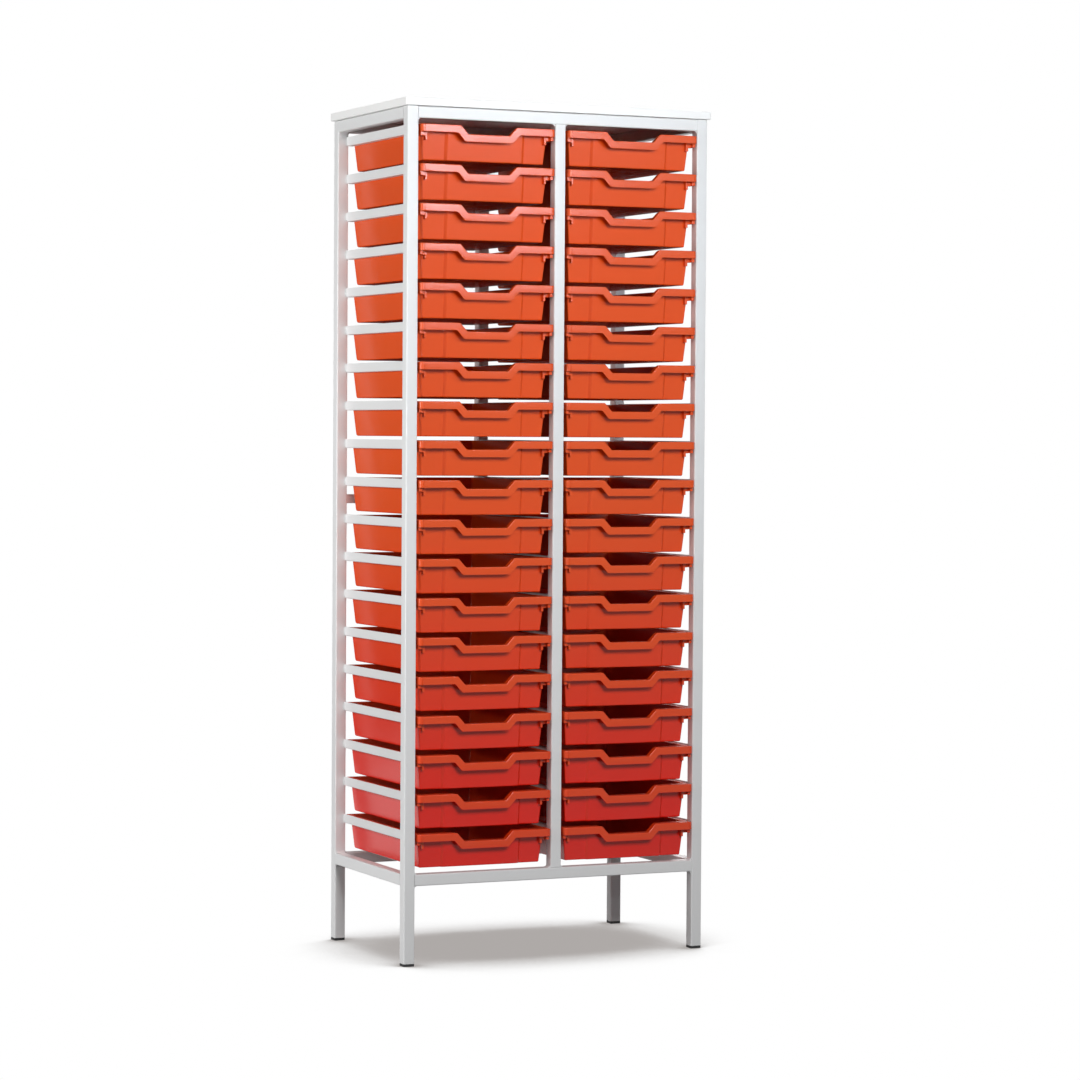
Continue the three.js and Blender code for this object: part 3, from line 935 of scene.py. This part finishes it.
def loop(inset, corner, z, setback=0.0, heel=0.0, drop=0.0, dip=0.0, panel=0.0, draft=0.0, lean=None,
         tuck=0.0):
    """One level of the tray: a rounded rectangle drawn in by inset, its front moved by the rules."""
    half, front, back = tray_half - inset, inset + setback, tray_depth - inset - heel
    straight = half - corner
    stretch = (straight - KEPT_HALF) / (RIM_STRAIGHT - KEPT_HALF)
    points = [(-straight, front, z)]
    for station in front_stations:
        past = abs(station) - KEPT_HALF
        x = station if past <= 0 else math.copysign(KEPT_HALF + past * stretch, station)
        sunk = dip * scoop_drop(x, drop)
        y = front - panel * panel_push(x) + draft * sunk + tuck * sunk / SCOOP_DEPTH
        if lean is not None:
            y += band_push(station, lean)
        points.append((x, y, z - sunk))
    for cx, cy, start in ((straight, front + corner, 270), (straight, back - corner, 0),
                          (-straight, back - corner, 90), (-straight, front + corner, 180)):
        points += [(x, y, z) for x, y in arc(cx, cy, corner, start, CORNER_STEPS)]
    return points[:-1]


def wall_inset(z):
    return SIDE_FLANGE + DRAFT * (tray_height - z) / tray_height


def rounding(z, radius):
    """How far an edge of this radius under the base draws in the level at z."""
    return radius - math.sqrt(radius ** 2 - max(radius - z, 0) ** 2)


print("wall draws in by", round((wall_inset(0) - wall_inset(tray_height)) / MM, 2), "mm down to the base")

# %% Levels of the moulding from the inside floor over the rim to the base
levels = []
body = {"setback": BODY_SETBACK - SIDE_FLANGE, "panel": PANEL_STEP, "draft": DRAFT / tray_height}
for angle in (90, 60, 30, 0):
    z = WALL + FLOOR_FILLET * (1 - math.sin(math.radians(angle)))
    inset = wall_inset(z) + WALL + FLOOR_FILLET * (1 - math.cos(math.radians(angle)))
    levels.append(loop(inset, BODY_CORNER - WALL, z, **body))
for angle in (0, 30, 60, 90):
    z = tray_height - RIM_EDGE * (1 - math.sin(math.radians(angle)))
    inset = wall_inset(z) + WALL - RIM_EDGE * (1 - math.cos(math.radians(angle)))
    levels.append(loop(inset, BODY_CORNER - WALL, z, drop=TROUGH_WIDENING, dip=1, **body))
lip_top = tray_height - RIM_EDGE
lip_foot = tray_height - RIM_LIP + RIM_SHEET / 2


def band_lean(z):
    return BAND_LEAN * (z - lip_foot) / (lip_top - lip_foot) - BAND_RAISE


for angle in (90, 60, 30, 0):
    z = lip_top + RIM_EDGE * math.sin(math.radians(angle))
    inset = RIM_EDGE * (1 - math.cos(math.radians(angle)))
    levels.append(loop(inset, RIM_CORNER - inset, z, setback=BAND_RAISE, drop=tray_height - z, dip=1,
                       lean=band_lean(lip_top)))
for angle in (0, 45, 90, 135, 180):
    z = lip_foot - RIM_SHEET / 2 * math.sin(math.radians(angle))
    inset = RIM_SHEET / 2 * (1 - math.cos(math.radians(angle)))
    levels.append(loop(inset, RIM_CORNER - inset, z, setback=BAND_RAISE, drop=tray_height - z, dip=1,
                       lean=band_lean(lip_foot) if angle < 90 else None, tuck=BAND_TUCK))
under = tray_height - RIM_SHEET
levels.append(loop(RIM_SHEET, RIM_CORNER - RIM_SHEET, under, setback=BAND_RAISE, drop=RIM_SHEET, dip=1))
levels.append(loop(wall_inset(under) - NECK_EASE, BODY_CORNER, under, drop=RIM_SHEET, dip=1, **body))
levels.append(loop(wall_inset(under), BODY_CORNER, under - NECK_EASE, drop=RIM_SHEET, dip=1, **body))
base_heights = [HEEL, HEEL / 2] + [share * BASE_EDGE for share in (1, 0.62, 0.3, 0.08, 0)]
for z in base_heights:
    edge = rounding(z, BASE_EDGE)
    levels.append(loop(wall_inset(z) + edge, BODY_CORNER - WALL, z, heel=rounding(z, HEEL) - edge, **body))
print("levels:", len(levels), "points on each:", len(levels[0]))

# %% Stop lugs behind the ends of the band, each by its lower near corner and its far corner in mm
LUG_EASE = 0.8 * MM
LUG_STEPS = 3
LUGS = [
    ((148.4, 9, 50.5), (155, 33.7)),
    ((140.5, 17.5, 50), (149.5, 27.5)),
    ((136.4, 17, 42), (141.5, 27.5)),
]


def add_lugs(bm):
    top = tray_height - RIM_SHEET / 2
    for (x0, y0, z0), (x1, y1) in LUGS:
        for side in (-1, 1):
            low = Vector((min(side * x0, side * x1), y0, z0)) * MM
            high = Vector((max(side * x0, side * x1) * MM, y1 * MM, top))
            eased_block(bm, low, high, LUG_EASE, LUG_EASE, LUG_STEPS)


bm = bmesh.new()
skin(bm, levels)
add_lugs(bm)
tray_moulding = mesh_of(bm, "tray", tray_plastic)
print("faces of a tray:", len(tray_moulding.polygons))

# %% Thirty-eight trays, each on its own body
for side in tray_names:
    for name in tray_names[side]:
        low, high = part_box(name)
        mesh = tray_moulding.copy()
        mesh.transform(Matrix.Translation(((low.x + high.x) / 2, low.y, low.z)))
        piece("moulded_" + name, mesh, name, "tray_plastic", name)
print("trays:", sum(len(names) for names in tray_names.values()))
